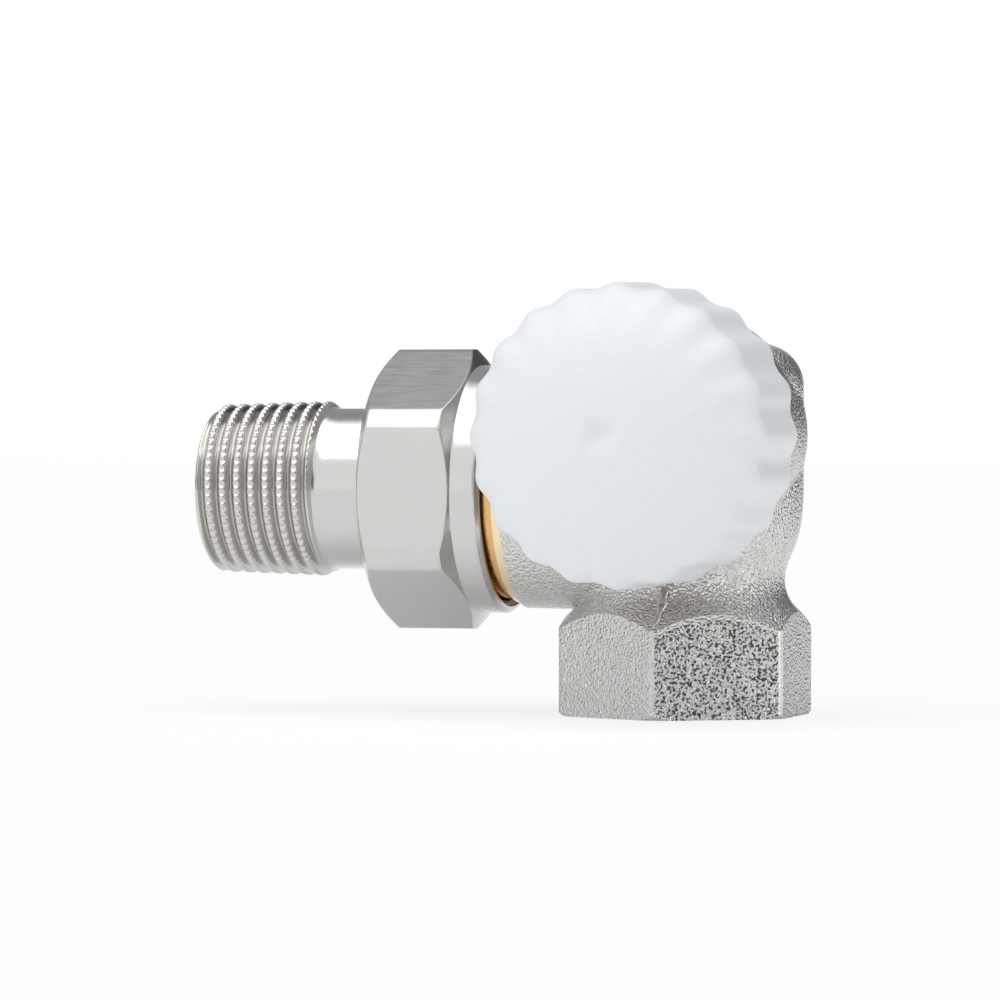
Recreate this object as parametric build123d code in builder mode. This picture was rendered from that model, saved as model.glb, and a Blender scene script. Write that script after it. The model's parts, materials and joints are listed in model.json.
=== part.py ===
from build123d import *
import math
import os

# Radiator valve body of the three-axis angle pattern, DN 15.
# The inlet socket points down and the middle of its face is the origin, the union
# with its tailpiece points to -X, and the head connection with its cap to -Y.
# All sizes are in millimetres.

# Where the three axes lie
outlet_height = 26.5
head_above_outlet = 6.5
outlet_reach = 58.0

# Inlet socket, Rp 1/2
inlet_hex_flats = 27.0
inlet_thread_radius = 9.32
inlet_thread_depth = 13.5
inlet_mouth_chamfer = 0.7
inlet_mouth_chamfer_height = 0.4
hex_below_barrel = 2.3
hex_edge_round = 1.2
hex_foot_chamfer = 0.9
hex_foot_chamfer_height = 0.6

# Cast body
barrel_radius = 13.9
barrel_above_outlet = 0.5
barrel_above_head = 10.7
waist_inset = 1.1
waist_below_outlet = 6.9
neck_inset = 2.2
neck_below_outlet = 10.7
flare_width = 1.3
flare_rise = 2.6
barrel_edge_round = 5.0
outlet_over_barrel = 0.2
outlet_swell = 0.3
outlet_past_barrel = 5.1
outlet_barrel_round = 1.0
globe_over_barrel = 0.7
globe_centre = 1.0
boss_over_globe = 0.8
boss_face_inset = 0.4
boss_edge_round = 0.8
casting_fillet = 1.4

# Union connection, G 3/4
spigot_radius = 13.0
spigot_length = 11.6
spigot_end_chamfer = 0.8
collar_radius = 13.5
collar_width = 1.1
union_cone_radius = 11.2
union_cone_half_angle = 30.0
outlet_bore_radius = 7.0
outlet_bore_end = 7.0

# Head connection, M30 x 1.5
head_thread_radius = 14.7
head_thread_length = 8.0
head_thread_chamfer = 0.8
insert_thread_radius = 11.4
insert_thread_length = 7.6
insert_thread_clearance = 0.1
valve_chamber_radius = 10.4
valve_chamber_depth = 12.6
seat_wall = 3.6
seat_bore_radius = 5.5
seat_lip_width = 1.1
seat_lip_height = 0.8
rear_chamber_radius = 6.5
rear_chamber_depth = 8.0
inlet_passage_radius = 3.9
inlet_passage_offset = 6.0

# Union nut
nut_flats = 30.0
nut_corner_diameter = 33.3
nut_body_gap = 2.3
nut_collar_length = 2.9
nut_collar_radius = 14.7
nut_chamfer_angle = 30.0
nut_left_face_radius = 14.6
nut_collar_chamfer = 0.5
nut_mouth_chamfer = 0.6
nut_thread_clearance = 0.25
nut_shoulder = 3.2

# Tailpiece, R 1/2
tail_thread_radius = 10.48
tail_thread_length = 15.0
tail_end_chamfer = 1.2
tail_neck_radius = 9.6
tail_neck_clearance = 0.25
tail_flange_radius = 12.4
tail_flange_thickness = 2.0
tail_flange_gap = 0.4
tail_cone_length = 4.2
tail_bore_radius = 7.6
tail_seat_gap = 0.15
key_rib_width = 3.0
key_rib_height = 1.5
key_rib_length = 12.0
key_rib_start = 3.0

# Valve stroke and the pieces on the spindle
stroke = 2.25
closing_height = 11.5
spindle_radius = 1.75
spindle_tail_radius = 1.4
spindle_tip_chamfer = 0.3
spindle_hole_clearance = 0.15
rivet_head_radius = 2.3
rivet_head_thickness = 0.6
seal_radius = 7.4
seal_thickness = 2.2
seal_stand_out = 0.65
plug_rim = 0.8
plug_back = 2.05
retainer_radius = 4.0
retainer_thickness = 0.8
circlip_radius = 3.2
circlip_thickness = 0.7
circlip_mouth = 2.0
spring_washer_radius = 5.2
spring_washer_thickness = 0.6
spring_radius = 3.9
spring_wire_radius = 0.45
spring_turns = 4.5
spring_length = 7.9

# Insert housing, guide bush and gland
plug_stop_gap = 0.3
bush_radius = 6.5
bush_length = 2.3
spring_chamber_radius = 5.6
circlip_top_gap = 0.3
partition = 1.4
housing_skirt_radius = 8.8
housing_land_radius = 10.25
housing_land_width = 1.1
housing_ring_groove = 1.8
housing_ring_groove_top = 14.1
housing_hex_flats = 23.0
housing_hex_height = 4.0
housing_top_radius = 8.4
housing_top_height = 1.4
hex_chamfer_angle = 30.0
o_ring_slack = 0.04
round_section_sides = 8
spindle_ring_chamber_radius = 3.6
spindle_ring_chamber = 1.9
gland_washer_thickness = 0.8
gland_thread_radius = 5.4
gland_thread_clearance = 0.1
gland_hex_flats = 12.0
gland_hex_height = 3.6

# Protective cap
cap_lobes = 20
cap_points_per_lobe = 4
cap_rear_gap = 2.6
cap_rear_radius = 17.3
cap_front_radius = 17.1
cap_lobe_height = 0.3
cap_dome_height = 8.0
cap_lobe_fade_angle = 50.0
cap_crown_angle = 82.0
cap_dome_steps = 6
cap_wall = 2.0
cap_pin_gap = 0.1
cap_thread_clearance = 0.2
cap_thread_length = 8.4
cap_cavity_radius = 13.6
cap_ceiling_flat = 3.0
cap_gate_radius = 2.6
cap_gate_depth = 0.4

# Heights above the inlet face
head_height = outlet_height + head_above_outlet
hex_corner_radius = inlet_hex_flats / math.sqrt(3)
outlet_barrel_radius = barrel_radius + outlet_over_barrel
outlet_barrel_root_radius = outlet_barrel_radius + outlet_swell
hex_corner_height = outlet_height - outlet_barrel_radius - hex_below_barrel
neck_radius = barrel_radius - neck_inset
flare_radius = neck_radius + flare_width
flare_height = hex_corner_height + flare_rise
neck_height = outlet_height - neck_below_outlet
waist_radius = barrel_radius - waist_inset
globe_radius = barrel_radius + globe_over_barrel
boss_radius = globe_radius + boss_over_globe
boss_face = globe_radius - boss_face_inset
outlet_barrel_reach = barrel_radius + outlet_past_barrel
waist_height = outlet_height - waist_below_outlet
barrel_start = outlet_height + barrel_above_outlet
barrel_top = head_height + barrel_above_head

# Places along the head axis, measured outwards from the inlet axis
chamber_floor = boss_face - valve_chamber_depth
seat_back = chamber_floor - seat_wall
seat_face = chamber_floor + seat_lip_height
head_face = boss_face + head_thread_length
insert_thread_start = head_face - insert_thread_length
seal_face = seat_face + stroke
seal_back = seal_face + seal_thickness
plug_top = seal_back + plug_back
bush_bottom = plug_top + plug_stop_gap
bush_top = bush_bottom + bush_length
spring_top = bush_top + spring_length
clip_bottom = spring_top + spring_washer_thickness
clip_top = clip_bottom + circlip_thickness
spring_chamber_top = clip_top + circlip_top_gap
inner_ring_floor = spring_chamber_top + partition
inner_ring_top = inner_ring_floor + spindle_ring_chamber
gland_bottom = inner_ring_top + gland_washer_thickness
outer_ring_top = gland_bottom + spindle_ring_chamber
housing_hex_top = head_face + housing_hex_height
housing_top = housing_hex_top + housing_top_height
gland_top = housing_top + gland_hex_height
pin_tip = head_face + closing_height + stroke
cap_rear = boss_face + cap_rear_gap
cap_ceiling = pin_tip + cap_pin_gap
cap_apex = cap_ceiling + cap_wall + cap_gate_depth
cap_dome_base = cap_apex - cap_dome_height

# Places along the union, measured outwards from the inlet axis
spigot_reach = outlet_barrel_reach + spigot_length
flange_face = spigot_reach + tail_flange_gap
nut_inside = flange_face + tail_flange_thickness
nut_left = nut_inside + nut_shoulder
nut_right = outlet_barrel_reach + nut_body_gap
tail_inner_end = flange_face - tail_cone_length
tail_thread_end = outlet_reach - tail_thread_length

# Radii shared by pieces that fit together
spindle_hole_radius = spindle_radius + spindle_hole_clearance
insert_bore_radius = insert_thread_radius + insert_thread_clearance
gland_bore_radius = gland_thread_radius + gland_thread_clearance
plug_radius = seal_radius + plug_rim
spindle_ring_tube = (spindle_ring_chamber_radius - spindle_radius) / 2

# Section planes: radius against distance along each of the three axes
inlet_section = Plane.XZ
outlet_section = Plane(origin=(0, 0, outlet_height), x_dir=(-1, 0, 0), z_dir=(0, 1, 0))
head_section = Plane(origin=(0, 0, head_height), x_dir=(1, 0, 0), z_dir=(0, 0, -1))
inlet_axis = Axis.Z
outlet_axis = Axis((0, 0, outlet_height), (-1, 0, 0))
head_axis = Axis((0, 0, head_height), (0, -1, 0))


def head_plane(distance):
    """Plane square to the head axis, facing outwards."""
    return Plane(origin=(0, -distance, head_height), x_dir=(1, 0, 0), z_dir=(0, -1, 0))


def outlet_plane(distance):
    """Plane square to the outlet axis, facing outwards."""
    return Plane(origin=(-distance, 0, outlet_height), x_dir=(0, -1, 0), z_dir=(-1, 0, 0))


def cone_radius(distance):
    """Radius of the body's sealing cone at a distance along the outlet axis."""
    slope = math.tan(math.radians(union_cone_half_angle))
    return union_cone_radius - (spigot_reach - distance) * slope


def chamfer_length(depth, angle):
    """Length along the axis of a turned chamfer of the given radial depth."""
    return depth * math.tan(math.radians(angle))


def lobed_outline(radius, height):
    """Points of a circle of the given mean radius that swells and dips in lobes."""
    count = cap_lobes * cap_points_per_lobe
    points = []
    for index in range(count):
        turn = 2 * math.pi * index / count
        reach = radius + height * math.cos(cap_lobes * turn)
        points.append((reach * math.cos(turn), reach * math.sin(turn)))
    return points


os.makedirs("parts", exist_ok=True)

# Inlet hexagon: rounded corners, a turned foot, a conical shoulder and a flare up to the neck
with BuildPart() as inlet_hexagon:
    with BuildSketch(Plane.XY) as hexagon:
        RegularPolygon(inlet_hex_flats / 2, 6, major_radius=False, rotation=30)
        fillet(hexagon.vertices(), hex_edge_round)
    extrude(amount=flare_height)
    with BuildSketch(inlet_section):
        with BuildLine():
            Polyline(
                (0, 0),
                (hex_corner_radius - hex_foot_chamfer, 0),
                (hex_corner_radius, hex_foot_chamfer_height),
                (hex_corner_radius, hex_corner_height),
                (flare_radius, flare_height),
                (0, flare_height),
                close=True,
            )
        make_face()
    revolve(axis=inlet_axis, mode=Mode.INTERSECT)
    with BuildSketch(inlet_section):
        with BuildLine():
            flare = TangentArc((flare_radius, flare_height), (neck_radius, neck_height), tangent=(-1, 1))
            Polyline(flare @ 1, (0, neck_height), (0, flare_height), flare @ 0)
        make_face()
    revolve(axis=inlet_axis)

# Cast and machined body
cone_reach = (union_cone_radius - outlet_bore_radius) / math.tan(math.radians(union_cone_half_angle))
with BuildPart() as valve_body:
    # Barrel that rises from the inlet, swelling above its neck
    with BuildSketch(inlet_section):
        with BuildLine():
            neck = Line((neck_radius, hex_corner_height), (neck_radius, neck_height))
            side = Spline(
                neck @ 1,
                (waist_radius, waist_height),
                (barrel_radius, barrel_start),
                tangents=((0, 1), (0, 1)),
            )
            wall = Line(side @ 1, (barrel_radius, barrel_top - barrel_edge_round))
            edge = TangentArc(wall @ 1, (barrel_radius - barrel_edge_round, barrel_top), tangent=(0, 1))
            Polyline(edge @ 1, (0, barrel_top), (0, hex_corner_height), neck @ 0)
        make_face()
    revolve(axis=inlet_axis)
    # Globe round the seat, drawn out into the boss under the head thread
    with BuildSketch(head_section) as globe:
        with BuildLine():
            back = CenterArc((0, globe_centre), globe_radius, -90, 90)
            flank = Line(back @ 1, (boss_radius, boss_face))
            Polyline(flank @ 1, (0, boss_face), back @ 0)
        make_face()
        fillet(globe.vertices().sort_by(Axis.X)[-1], boss_edge_round)
    revolve(axis=head_axis)
    # Outlet barrel
    with BuildSketch(outlet_section) as outlet_barrel:
        with BuildLine():
            Polyline(
                (0, 0),
                (0, outlet_barrel_root_radius),
                (outlet_barrel_reach, outlet_barrel_radius),
                (outlet_barrel_reach, 0),
                close=True,
            )
        make_face()
        fillet(outlet_barrel.vertices().sort_by(Axis.Y)[-1], outlet_barrel_round)
    revolve(axis=outlet_axis)
    fillet(valve_body.edges().filter_by(GeomType.BSPLINE), casting_fillet)
    add(inlet_hexagon.part)
    # Spigot for the union nut, with a collar behind the thread
    with BuildSketch(outlet_section):
        with BuildLine():
            spigot_root = outlet_barrel_reach - outlet_barrel_round
            collar_end = outlet_barrel_reach + collar_width
            Polyline(
                (spigot_root, 0),
                (spigot_root, collar_radius - outlet_barrel_round),
                (outlet_barrel_reach, collar_radius),
                (collar_end, collar_radius),
                (collar_end, spigot_radius),
                (spigot_reach - spigot_end_chamfer, spigot_radius),
                (spigot_reach, spigot_radius - spigot_end_chamfer),
                (spigot_reach, 0),
                close=True,
            )
        make_face()
    revolve(axis=outlet_axis)
    # Neck with the head thread
    with BuildSketch(head_section):
        with BuildLine():
            neck_root = boss_face - boss_edge_round
            Polyline(
                (0, neck_root),
                (head_thread_radius - boss_edge_round, neck_root),
                (head_thread_radius, boss_face),
                (head_thread_radius, head_face - head_thread_chamfer),
                (head_thread_radius - head_thread_chamfer, head_face),
                (0, head_face),
                close=True,
            )
        make_face()
    revolve(axis=head_axis)
    # Bore for the insert, valve chamber, raised seat and seat bore
    with BuildSketch(head_section):
        with BuildLine():
            seat_lip_radius = seat_bore_radius + seat_lip_width
            Polyline(
                (0, seat_back),
                (seat_bore_radius, seat_back),
                (seat_bore_radius, seat_face),
                (seat_lip_radius, seat_face),
                (seat_lip_radius, chamber_floor),
                (valve_chamber_radius, chamber_floor),
                (valve_chamber_radius, insert_thread_start),
                (insert_bore_radius, insert_thread_start),
                (insert_bore_radius, head_face),
                (0, head_face),
                close=True,
            )
        make_face()
    revolve(axis=head_axis, mode=Mode.SUBTRACT)
    # Round-ended chamber behind the seat
    with BuildSketch(head_section):
        with BuildLine():
            dome_start = seat_back - rear_chamber_depth + rear_chamber_radius
            dome = CenterArc((0, dome_start), rear_chamber_radius, -90, 90)
            Polyline(dome @ 1, (rear_chamber_radius, seat_back), (0, seat_back), dome @ 0)
        make_face()
    revolve(axis=head_axis, mode=Mode.SUBTRACT)
    # Inlet socket with its mouth chamfer, and the passage up to the rear chamber
    with BuildSketch(inlet_section):
        with BuildLine():
            Polyline(
                (0, 0),
                (inlet_thread_radius + inlet_mouth_chamfer, 0),
                (inlet_thread_radius, inlet_mouth_chamfer_height),
                (inlet_thread_radius, inlet_thread_depth),
                (0, inlet_thread_depth),
                close=True,
            )
        make_face()
    revolve(axis=inlet_axis, mode=Mode.SUBTRACT)
    with BuildSketch(Plane.XY.offset(inlet_thread_depth)):
        with Locations((0, inlet_passage_offset)):
            Circle(inlet_passage_radius)
    extrude(amount=head_height - inlet_thread_depth, mode=Mode.SUBTRACT)
    # Outlet bore from the sealing cone into the side of the valve chamber
    with BuildSketch(outlet_section):
        with BuildLine():
            Polyline(
                (outlet_bore_end, 0),
                (outlet_bore_end, outlet_bore_radius),
                (spigot_reach - cone_reach, outlet_bore_radius),
                (spigot_reach, union_cone_radius),
                (spigot_reach, 0),
                close=True,
            )
        make_face()
    revolve(axis=outlet_axis, mode=Mode.SUBTRACT)
valve_body.part.label = "valve_body"
export_step(valve_body.part, "parts/valve_body.step")

# Union nut: a hexagon with turned corners, and a turned collar towards the body
with BuildPart() as union_nut:
    with BuildSketch(outlet_plane(nut_right)):
        RegularPolygon(nut_flats / 2, 6, major_radius=False, rotation=30)
    extrude(amount=nut_left - nut_right)
    with BuildSketch(outlet_section):
        with BuildLine():
            corner = nut_corner_diameter / 2
            hex_start = nut_right + nut_collar_length
            Polyline(
                (nut_right, 0),
                (nut_right, nut_collar_radius - nut_collar_chamfer),
                (nut_right + nut_collar_chamfer, nut_collar_radius),
                (hex_start, nut_collar_radius),
                (hex_start + chamfer_length(corner - nut_collar_radius, nut_chamfer_angle), corner),
                (nut_left - chamfer_length(corner - nut_left_face_radius, nut_chamfer_angle), corner),
                (nut_left, nut_left_face_radius),
                (nut_left, 0),
                close=True,
            )
        make_face()
    revolve(axis=outlet_axis, mode=Mode.INTERSECT)
    with BuildSketch(outlet_section):
        with BuildLine():
            nut_thread_radius = spigot_radius + nut_thread_clearance
            nut_hole_radius = tail_neck_radius + tail_neck_clearance
            Polyline(
                (nut_right, 0),
                (nut_right, nut_thread_radius + nut_mouth_chamfer),
                (nut_right + nut_mouth_chamfer, nut_thread_radius),
                (nut_inside, nut_thread_radius),
                (nut_inside, nut_hole_radius),
                (nut_left, nut_hole_radius),
                (nut_left, 0),
                close=True,
            )
        make_face()
    revolve(axis=outlet_axis, mode=Mode.SUBTRACT)
union_nut.part.label = "union_nut"
export_step(union_nut.part, "parts/union_nut.step")

# Tailpiece: threaded tube with a neck for the nut, a flange and a sealing cone
tail_cone_inset = tail_seat_gap / math.cos(math.radians(union_cone_half_angle))
with BuildPart() as tailpiece:
    with BuildSketch(outlet_section):
        with BuildLine():
            Polyline(
                (outlet_reach, tail_bore_radius),
                (outlet_reach, tail_thread_radius - tail_end_chamfer),
                (outlet_reach - tail_end_chamfer, tail_thread_radius),
                (tail_thread_end, tail_thread_radius),
                (tail_thread_end, tail_neck_radius),
                (nut_inside, tail_neck_radius),
                (nut_inside, tail_flange_radius),
                (flange_face, tail_flange_radius),
                (flange_face, cone_radius(flange_face) - tail_cone_inset),
                (tail_inner_end, cone_radius(tail_inner_end) - tail_cone_inset),
                (tail_inner_end, tail_bore_radius),
                close=True,
            )
        make_face()
    revolve(axis=outlet_axis)
    # Two ribs in the bore, which a stepped key turns
    with BuildSketch(outlet_plane(outlet_reach - key_rib_start - key_rib_length)):
        with PolarLocations(tail_bore_radius, 2, start_angle=90):
            Rectangle(2 * key_rib_height, key_rib_width)
        Circle(tail_bore_radius, mode=Mode.INTERSECT)
    extrude(amount=key_rib_length)
tailpiece.part.label = "tailpiece"
export_step(tailpiece.part, "parts/tailpiece.step")

# Spindle: one rod from the riveted end in the seat to the pin under the cap
rivet_top = seal_face - retainer_thickness
with BuildPart() as spindle:
    with BuildSketch(head_section):
        with BuildLine():
            Polyline(
                (0, rivet_top - rivet_head_thickness),
                (rivet_head_radius, rivet_top - rivet_head_thickness),
                (rivet_head_radius, rivet_top),
                (spindle_tail_radius, rivet_top),
                (spindle_tail_radius, plug_top),
                (spindle_radius, plug_top),
                (spindle_radius, clip_bottom),
                (spindle_tail_radius, clip_bottom),
                (spindle_tail_radius, clip_top),
                (spindle_radius, clip_top),
                (spindle_radius, pin_tip - spindle_tip_chamfer),
                (spindle_radius - spindle_tip_chamfer, pin_tip),
                (0, pin_tip),
                close=True,
            )
        make_face()
    revolve(axis=head_axis)
spindle.part.label = "spindle"
export_step(spindle.part, "parts/spindle.step")

# Plug: a brass cup that holds the rubber seal
with BuildPart() as valve_plug:
    with BuildSketch(head_section):
        with BuildLine():
            Polyline(
                (spindle_tail_radius, seal_back),
                (seal_radius, seal_back),
                (seal_radius, seal_face + seal_stand_out),
                (plug_radius, seal_face + seal_stand_out),
                (plug_radius, plug_top),
                (spindle_tail_radius, plug_top),
                close=True,
            )
        make_face()
    revolve(axis=head_axis)
valve_plug.part.label = "valve_plug"
export_step(valve_plug.part, "parts/valve_plug.step")

with BuildPart() as plug_seal:
    with BuildSketch(head_plane(seal_face)):
        Circle(seal_radius)
        Circle(spindle_tail_radius, mode=Mode.SUBTRACT)
    extrude(amount=seal_thickness)
plug_seal.part.label = "plug_seal"
export_step(plug_seal.part, "parts/plug_seal.step")

with BuildPart() as plug_retainer:
    with BuildSketch(head_plane(rivet_top)):
        Circle(retainer_radius)
        Circle(spindle_tail_radius, mode=Mode.SUBTRACT)
    extrude(amount=retainer_thickness)
plug_retainer.part.label = "plug_retainer"
export_step(plug_retainer.part, "parts/plug_retainer.step")

# Return spring between the guide bush and the washer on the spindle.
# Thin round sections, here and in the sealing rings, are drawn with eight sides.
spring_lift = spring_length - 2 * spring_wire_radius
with BuildPart() as return_spring:
    with BuildLine() as coil:
        foot = (0, -bush_top - spring_wire_radius, head_height)
        Helix(spring_lift / spring_turns, spring_lift, spring_radius, center=foot, direction=(0, -1, 0))
    with BuildSketch(Plane(origin=coil.line @ 0, z_dir=coil.line % 0)):
        RegularPolygon(spring_wire_radius, round_section_sides)
    sweep(is_frenet=True)
return_spring.part.label = "return_spring"
export_step(return_spring.part, "parts/return_spring.step")

with BuildPart() as spring_washer:
    with BuildSketch(head_plane(spring_top)):
        Circle(spring_washer_radius)
        Circle(spindle_radius, mode=Mode.SUBTRACT)
    extrude(amount=spring_washer_thickness)
spring_washer.part.label = "spring_washer"
export_step(spring_washer.part, "parts/spring_washer.step")

# Open circlip in the spindle's groove
with BuildPart() as circlip:
    with BuildSketch(head_plane(clip_bottom)):
        Circle(circlip_radius)
        Circle(spindle_tail_radius, mode=Mode.SUBTRACT)
        with Locations((circlip_radius, 0)):
            Rectangle(2 * circlip_radius, circlip_mouth, mode=Mode.SUBTRACT)
    extrude(amount=circlip_thickness)
circlip.part.label = "circlip"
export_step(circlip.part, "parts/circlip.step")

# Insert housing: thread for the body, hexagon, spring chamber and seal chamber
housing_corner_radius = housing_hex_flats / math.sqrt(3)
housing_hex_drop = chamfer_length(housing_corner_radius - housing_hex_flats / 2, hex_chamfer_angle)
land_bottom = housing_ring_groove_top - housing_ring_groove - housing_land_width
with BuildPart() as insert_housing:
    with BuildSketch(head_plane(head_face)):
        RegularPolygon(housing_hex_flats / 2, 6, major_radius=False)
    extrude(amount=housing_hex_height)
    with BuildSketch(head_section):
        with BuildLine():
            Polyline(
                (0, head_face),
                (housing_corner_radius, head_face),
                (housing_corner_radius, housing_hex_top - housing_hex_drop),
                (housing_hex_flats / 2, housing_hex_top),
                (0, housing_hex_top),
                close=True,
            )
        make_face()
    revolve(axis=head_axis, mode=Mode.INTERSECT)
    with BuildSketch(head_section):
        with BuildLine():
            groove_bottom = housing_ring_groove_top - housing_ring_groove
            thread_bottom = insert_thread_start + insert_thread_clearance
            Polyline(
                (0, bush_bottom),
                (housing_skirt_radius, bush_bottom),
                (housing_skirt_radius, land_bottom),
                (housing_land_radius, land_bottom),
                (housing_land_radius, groove_bottom),
                (housing_skirt_radius, groove_bottom),
                (housing_skirt_radius, housing_ring_groove_top),
                (housing_land_radius, housing_ring_groove_top),
                (housing_land_radius, thread_bottom),
                (insert_thread_radius, thread_bottom),
                (insert_thread_radius, head_face),
                (housing_top_radius, head_face),
                (housing_top_radius, housing_top),
                (0, housing_top),
                close=True,
            )
        make_face()
    revolve(axis=head_axis)
    with BuildSketch(head_section):
        with BuildLine():
            Polyline(
                (0, bush_bottom),
                (bush_radius, bush_bottom),
                (bush_radius, bush_top),
                (spring_chamber_radius, bush_top),
                (spring_chamber_radius, spring_chamber_top),
                (spindle_hole_radius, spring_chamber_top),
                (spindle_hole_radius, inner_ring_floor),
                (spindle_ring_chamber_radius, inner_ring_floor),
                (spindle_ring_chamber_radius, inner_ring_top),
                (gland_bore_radius, inner_ring_top),
                (gland_bore_radius, housing_top),
                (0, housing_top),
                close=True,
            )
        make_face()
    revolve(axis=head_axis, mode=Mode.SUBTRACT)
insert_housing.part.label = "insert_housing"
export_step(insert_housing.part, "parts/insert_housing.step")

# Seal of the housing in the body, in the groove above the land
insert_ring_tube = (valve_chamber_radius - housing_skirt_radius) / 2
insert_ring_place = housing_ring_groove_top - housing_ring_groove / 2
with BuildPart() as insert_o_ring:
    with BuildSketch(head_section):
        with Locations((housing_skirt_radius + insert_ring_tube, insert_ring_place)):
            RegularPolygon(insert_ring_tube - o_ring_slack, round_section_sides)
    revolve(axis=head_axis)
insert_o_ring.part.label = "insert_o_ring"
export_step(insert_o_ring.part, "parts/insert_o_ring.step")

with BuildPart() as guide_bush:
    with BuildSketch(head_plane(bush_bottom)):
        Circle(bush_radius)
        Circle(spindle_hole_radius, mode=Mode.SUBTRACT)
    extrude(amount=bush_length)
guide_bush.part.label = "guide_bush"
export_step(guide_bush.part, "parts/guide_bush.step")

# Two seals round the spindle, parted by the gland washer
with BuildPart() as inner_o_ring:
    with BuildSketch(head_section):
        with Locations((spindle_radius + spindle_ring_tube, (inner_ring_floor + inner_ring_top) / 2)):
            RegularPolygon(spindle_ring_tube - o_ring_slack, round_section_sides)
    revolve(axis=head_axis)
inner_o_ring.part.label = "inner_o_ring"
export_step(inner_o_ring.part, "parts/inner_o_ring.step")

with BuildPart() as outer_o_ring:
    with BuildSketch(head_section):
        with Locations((spindle_radius + spindle_ring_tube, (gland_bottom + outer_ring_top) / 2)):
            RegularPolygon(spindle_ring_tube - o_ring_slack, round_section_sides)
    revolve(axis=head_axis)
outer_o_ring.part.label = "outer_o_ring"
export_step(outer_o_ring.part, "parts/outer_o_ring.step")

with BuildPart() as gland_washer:
    with BuildSketch(head_plane(inner_ring_top)):
        Circle(gland_thread_radius)
        Circle(spindle_hole_radius, mode=Mode.SUBTRACT)
    extrude(amount=gland_washer_thickness)
gland_washer.part.label = "gland_washer"
export_step(gland_washer.part, "parts/gland_washer.step")

# Gland nut that closes the seal chamber
gland_corner_radius = gland_hex_flats / math.sqrt(3)
gland_hex_drop = chamfer_length(gland_corner_radius - gland_hex_flats / 2, hex_chamfer_angle)
with BuildPart() as gland_nut:
    with BuildSketch(head_plane(housing_top)):
        RegularPolygon(gland_hex_flats / 2, 6, major_radius=False)
    extrude(amount=gland_hex_height)
    with BuildSketch(head_section):
        with BuildLine():
            Polyline(
                (0, housing_top),
                (gland_corner_radius, housing_top),
                (gland_corner_radius, gland_top - gland_hex_drop),
                (gland_hex_flats / 2, gland_top),
                (0, gland_top),
                close=True,
            )
        make_face()
    revolve(axis=head_axis, mode=Mode.INTERSECT)
    with BuildSketch(head_plane(gland_bottom)):
        Circle(gland_thread_radius)
    extrude(amount=housing_top - gland_bottom)
    with BuildSketch(head_section):
        with BuildLine():
            Polyline(
                (0, gland_bottom),
                (spindle_ring_chamber_radius, gland_bottom),
                (spindle_ring_chamber_radius, outer_ring_top),
                (spindle_hole_radius, outer_ring_top),
                (spindle_hole_radius, gland_top),
                (0, gland_top),
                close=True,
            )
        make_face()
    revolve(axis=head_axis, mode=Mode.SUBTRACT)
gland_nut.part.label = "gland_nut"
export_step(gland_nut.part, "parts/gland_nut.step")

# Protective cap: a lobed skirt whose lobes run out over an elliptical dome
cap_sections = [(cap_rear, cap_rear_radius, cap_lobe_height)]
for step in range(cap_dome_steps + 1):
    climb = cap_crown_angle * step / cap_dome_steps
    place = cap_dome_base + cap_dome_height * math.sin(math.radians(climb))
    radius = cap_front_radius * math.cos(math.radians(climb))
    height = cap_lobe_height * max(0, 1 - (climb / cap_lobe_fade_angle) ** 2)
    cap_sections.append((place, radius, height))
with BuildPart() as protective_cap:
    for place, radius, height in cap_sections:
        with BuildSketch(head_plane(place)):
            with BuildLine():
                Spline(*lobed_outline(radius, height), periodic=True)
            make_face()
    loft(ruled=True)
    # Hollow inside: thread bore, cavity and a ceiling just clear of the spindle's tip
    with BuildSketch(head_section):
        with BuildLine():
            cap_bore_radius = head_thread_radius + cap_thread_clearance
            cap_bore_end = cap_rear + cap_thread_length
            ceiling = TangentArc(
                (cap_ceiling_flat, cap_ceiling),
                (cap_cavity_radius, cap_dome_base),
                tangent=(1, 0),
            )
            Polyline(
                ceiling @ 1,
                (cap_cavity_radius, cap_bore_end),
                (cap_bore_radius, cap_bore_end),
                (cap_bore_radius, cap_rear),
                (0, cap_rear),
                (0, cap_ceiling),
                ceiling @ 0,
            )
        make_face()
    revolve(axis=head_axis, mode=Mode.SUBTRACT)
    # Shallow dimple where the moulding gate was
    with BuildSketch(head_plane(cap_apex)):
        Circle(cap_gate_radius)
    extrude(amount=-cap_gate_depth, mode=Mode.SUBTRACT)
protective_cap.part.label = "protective_cap"
export_step(protective_cap.part, "parts/protective_cap.step")
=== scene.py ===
import json
import math

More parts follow.
